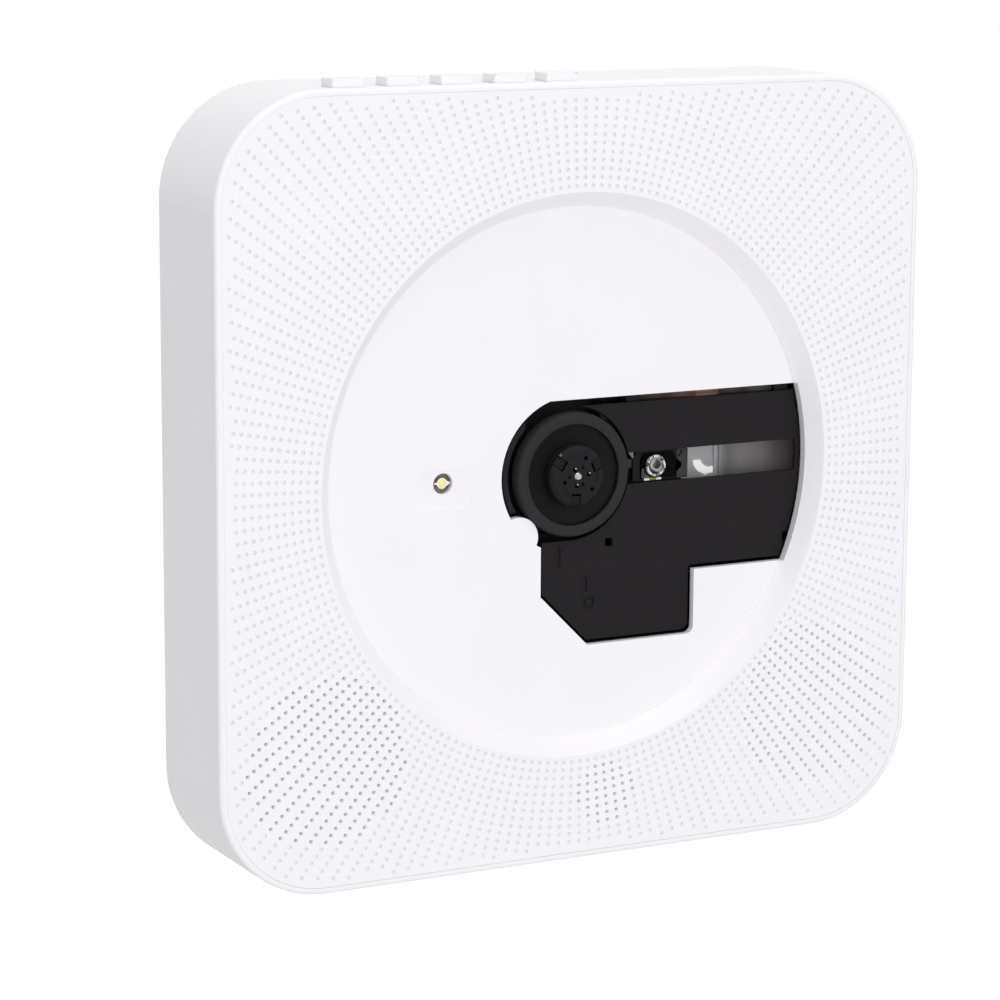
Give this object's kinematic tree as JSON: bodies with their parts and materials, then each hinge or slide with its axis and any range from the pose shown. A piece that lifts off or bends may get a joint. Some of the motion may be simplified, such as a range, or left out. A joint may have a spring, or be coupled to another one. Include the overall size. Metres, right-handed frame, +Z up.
{
  "type": "wall mounted cd player",
  "caption": "Square white wall disc player with an open round disc well, a pickup mechanism, a dotted front, loudspeakers and top keys.",
  "frame": {"origin": "middle of the rear wall face, level with the spindle's axis", "axes": "+X right and +Z up as seen from the front, -Y out of the front face, +Y into the wall"},
  "size_m": [0.189, 0.037, 0.191],
  "materials": {
    "white_shell": "fine satin",
    "white_front": "fine satin",
    "steel": "plain",
    "black_plastic": "fine texture",
    "dark_plastic": "fine texture",
    "rubber": "matt",
    "ivory_plastic": "plain",
    "lens": "clear",
    "brass": "plain",
    "bright_sheet": "bright",
    "flex": "glossy film",
    "sensor": "translucent",
    "paper_cone": "coated paper",
    "magnet": "sintered",
    "circuit_board": "solder resist"
  },
  "bodies": {
    "case": {"main_housing": "white_shell", "rear_cover": "white_shell", "rear_screws": "steel", "front_grille": "white_front", "front_panel": "white_front", "disc_well": "white_front", "mech_chassis": "black_plastic", "mech_cover": "dark_plastic", "dampers": "rubber", "damper_screws": "steel", "spindle_motor": "steel", "main_guide_rod": "steel", "side_guide_rod": "steel", "sled_motor": "steel", "gear_pin": "steel", "bottom_shield": "bright_sheet", "flex_cable": "flex", "sensor_holder": "black_plastic", "disc_sensor": "sensor", "speaker_basket_left": "black_plastic", "speaker_surround_left": "rubber", "speaker_magnet_left": "magnet", "speaker_basket_right": "black_plastic", "speaker_surround_right": "rubber", "speaker_magnet_right": "magnet", "receiver_module": "black_plastic", "key_board": "circuit_board", "key_switches": "black_plastic", "main_board": "circuit_board", "board_screws": "steel", "usb_socket": "steel", "audio_socket": "black_plastic", "power_socket": "black_plastic"},
    "rotor": {"turntable": "dark_plastic", "clamp_hub": "dark_plastic", "spindle_shaft": "steel"},
    "claw_a": {"claw_1": "black_plastic"},
    "claw_b": {"claw_2": "black_plastic"},
    "claw_c": {"claw_3": "black_plastic"},
    "sled": {"pickup_sled": "black_plastic", "sled_rack": "black_plastic", "actuator_base": "black_plastic"},
    "lens": {"lens_holder": "black_plastic", "objective_lens": "lens"},
    "feed": {"feed_gear": "ivory_plastic"},
    "pinion": {"motor_pinion": "brass"},
    "key_1": {"button_1": "white_shell"},
    "key_2": {"button_2": "white_shell"},
    "key_3": {"button_3": "white_shell"},
    "key_4": {"button_4": "white_shell"},
    "key_5": {"button_5": "white_shell"},
    "cone_left": {"speaker_cone_left": "paper_cone"},
    "cone_right": {"speaker_cone_right": "paper_cone"}
  },
  "joints": [
    {"name": "turntable_spin", "type": "hinge", "parent": "case", "child": "rotor", "pos_m": [0, -0.03, 0], "axis": [0, -1, 0], "continuous": true},
    {"name": "claw_a_slide", "type": "slide", "parent": "rotor", "child": "claw_a", "axis": [-0.9063, 0, -0.4226], "range_m": [0, 0.0004], "stiffness_N_per_m": 300},
    {"name": "claw_b_slide", "type": "slide", "parent": "rotor", "child": "claw_b", "axis": [0.8192, 0, -0.5736], "range_m": [0, 0.0004], "stiffness_N_per_m": 300},
    {"name": "claw_c_slide", "type": "slide", "parent": "rotor", "child": "claw_c", "axis": [0.0872, 0, 0.9962], "range_m": [0, 0.0004], "stiffness_N_per_m": 300},
    {"name": "sled_feed", "type": "slide", "parent": "case", "child": "sled", "axis": [1, 0, 0], "range_m": [0, 0.0355]},
    {"name": "lens_focus", "type": "slide", "parent": "sled", "child": "lens", "axis": [0, -1, 0], "range_m": [-0.0004, 0.0004], "stiffness_N_per_m": 40},
    {"name": "feed_gear_spin", "type": "hinge", "parent": "case", "child": "feed", "pos_m": [0.0316, -0.026, -0.02255], "axis": [0, 1, 0], "range_deg": [-5, 460]},
    {"name": "motor_pinion_spin", "type": "hinge", "parent": "case", "child": "pinion", "pos_m": [0.02683, -0.026, -0.03082], "axis": [0, 1, 0], "range_deg": [-1280, 10]},
    {"name": "button_1_press", "type": "slide", "parent": "case", "child": "key_1", "axis": [0, 0, -1], "range_m": [0, 0.0005], "stiffness_N_per_m": 1500},
    {"name": "button_2_press", "type": "slide", "parent": "case", "child": "key_2", "axis": [0, 0, -1], "range_m": [0, 0.0005], "stiffness_N_per_m": 1500},
    {"name": "button_3_press", "type": "slide", "parent": "case", "child": "key_3", "axis": [0, 0, -1], "range_m": [0, 0.0005], "stiffness_N_per_m": 1500},
    {"name": "button_4_press", "type": "slide", "parent": "case", "child": "key_4", "axis": [0, 0, -1], "range_m": [0, 0.0005], "stiffness_N_per_m": 1500},
    {"name": "button_5_press", "type": "slide", "parent": "case", "child": "key_5", "axis": [0, 0, -1], "range_m": [0, 0.0005], "stiffness_N_per_m": 1500},
    {"name": "cone_left_stroke", "type": "slide", "parent": "case", "child": "cone_left", "axis": [0, -1, 0], "range_m": [-0.0004, 0.0004], "stiffness_N_per_m": 1500, "deforming": ["speaker_surround_left"]},
    {"name": "cone_right_stroke", "type": "slide", "parent": "case", "child": "cone_right", "axis": [0, -1, 0], "range_m": [-0.0004, 0.0004], "stiffness_N_per_m": 1500, "deforming": ["speaker_surround_right"]}
  ],
  "couplings": [
    {"joint": "feed_gear_spin", "follows": "sled_feed", "rad_per_m": 222.22},
    {"joint": "motor_pinion_spin", "follows": "sled_feed", "rad_per_m": -622.22}
  ]
}
